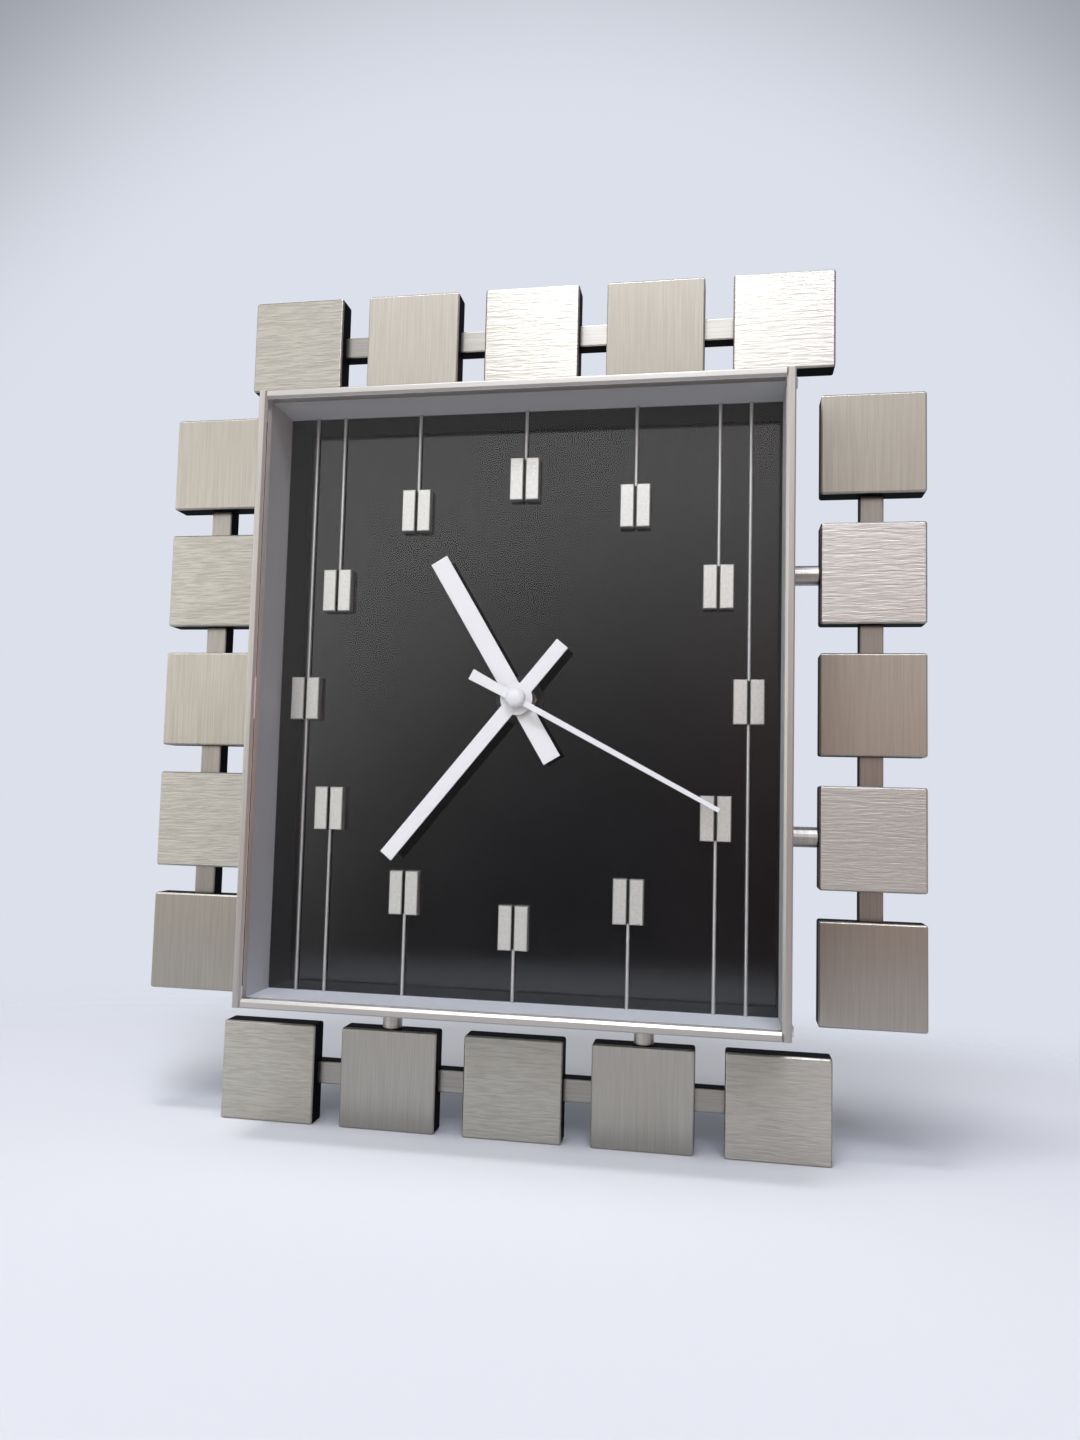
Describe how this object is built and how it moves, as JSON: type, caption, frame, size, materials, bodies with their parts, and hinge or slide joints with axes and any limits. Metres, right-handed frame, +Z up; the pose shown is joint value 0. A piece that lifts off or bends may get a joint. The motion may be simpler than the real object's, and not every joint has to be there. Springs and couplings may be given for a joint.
{
  "type": "wall clock",
  "caption": "Rectangular wall clock: aluminium box frame with a glass front, black dial, bar markers and hands, ringed by square brushed plates.",
  "frame": {"origin": "middle of the hanger plate's rear face, on the wall plane", "axes": "+Z up, +X to the right as seen from the front, +Y into the wall, so the dial faces -Y"},
  "size_m": [0.315, 0.05, 0.349],
  "materials": {
    "brushed_plate": "straight brushed face, polished edges",
    "rail_metal": "satin",
    "pin_metal": "turned, bright",
    "frame_metal": "satin anodised",
    "front_glass": "clear float glass",
    "dial_black": "black, high gloss",
    "marker_metal": "fine matt silver",
    "hand_paint": "white, silky",
    "brass": "turned brass",
    "movement_plastic": "fine moulded texture",
    "knob_plastic": "moulded",
    "cell_jacket": null,
    "zinc_plate": "bright zinc"
  },
  "bodies": {
    "case": {"plate_top_1": "brushed_plate", "plate_top_2": "brushed_plate", "plate_top_3": "brushed_plate", "plate_top_4": "brushed_plate", "plate_top_5": "brushed_plate", "plate_right_1": "brushed_plate", "plate_right_2": "brushed_plate", "plate_right_3": "brushed_plate", "plate_right_4": "brushed_plate", "plate_right_5": "brushed_plate", "plate_bottom_1": "brushed_plate", "plate_bottom_2": "brushed_plate", "plate_bottom_3": "brushed_plate", "plate_bottom_4": "brushed_plate", "plate_bottom_5": "brushed_plate", "plate_left_1": "brushed_plate", "plate_left_2": "brushed_plate", "plate_left_3": "brushed_plate", "plate_left_4": "brushed_plate", "plate_left_5": "brushed_plate", "rail_top": "rail_metal", "rail_right": "rail_metal", "rail_bottom": "rail_metal", "rail_left": "rail_metal", "pin_top_left": "pin_metal", "pin_top_right": "pin_metal", "pin_right_upper": "pin_metal", "pin_right_lower": "pin_metal", "pin_bottom_left": "pin_metal", "pin_bottom_right": "pin_metal", "pin_left_upper": "pin_metal", "pin_left_lower": "pin_metal", "frame_strip_top": "frame_metal", "frame_strip_right": "frame_metal", "frame_strip_bottom": "frame_metal", "frame_strip_left": "frame_metal", "glass_pane": "front_glass", "dial_panel": "dial_black", "hour_marker_1": "marker_metal", "hour_marker_2": "marker_metal", "hour_marker_3": "marker_metal", "hour_marker_4": "marker_metal", "hour_marker_5": "marker_metal", "hour_marker_6": "marker_metal", "hour_marker_7": "marker_metal", "hour_marker_8": "marker_metal", "hour_marker_9": "marker_metal", "hour_marker_10": "marker_metal", "hour_marker_11": "marker_metal", "hour_marker_12": "marker_metal", "hub_nut": "brass", "movement_case": "movement_plastic", "battery_cell": "cell_jacket", "hanger_plate": "zinc_plate"},
    "hour": {"hour_hand": "hand_paint", "hour_pipe": "brass"},
    "minute": {"minute_hand": "hand_paint", "minute_pipe": "brass"},
    "second": {"second_hand": "hand_paint"},
    "knob": {"setting_knob": "knob_plastic"}
  },
  "joints": [
    {"name": "minute_turn", "type": "hinge", "parent": "case", "child": "minute", "pos_m": [0, -0.0318, -0.1071], "axis": [0, 1, 0], "continuous": true},
    {"name": "hour_turn", "type": "hinge", "parent": "case", "child": "hour", "pos_m": [0, -0.0294, -0.1071], "axis": [0, 1, 0], "continuous": true},
    {"name": "second_turn", "type": "hinge", "parent": "case", "child": "second", "pos_m": [0, -0.0342, -0.1071], "axis": [0, 1, 0], "continuous": true},
    {"name": "knob_turn", "type": "hinge", "parent": "case", "child": "knob", "pos_m": [-0.013, -0.0016, -0.0951], "axis": [0, 1, 0], "continuous": true}
  ],
  "couplings": [
    {"joint": "hour_turn", "follows": "minute_turn", "ratio": 0.083333},
    {"joint": "knob_turn", "follows": "minute_turn", "ratio": 1}
  ]
}
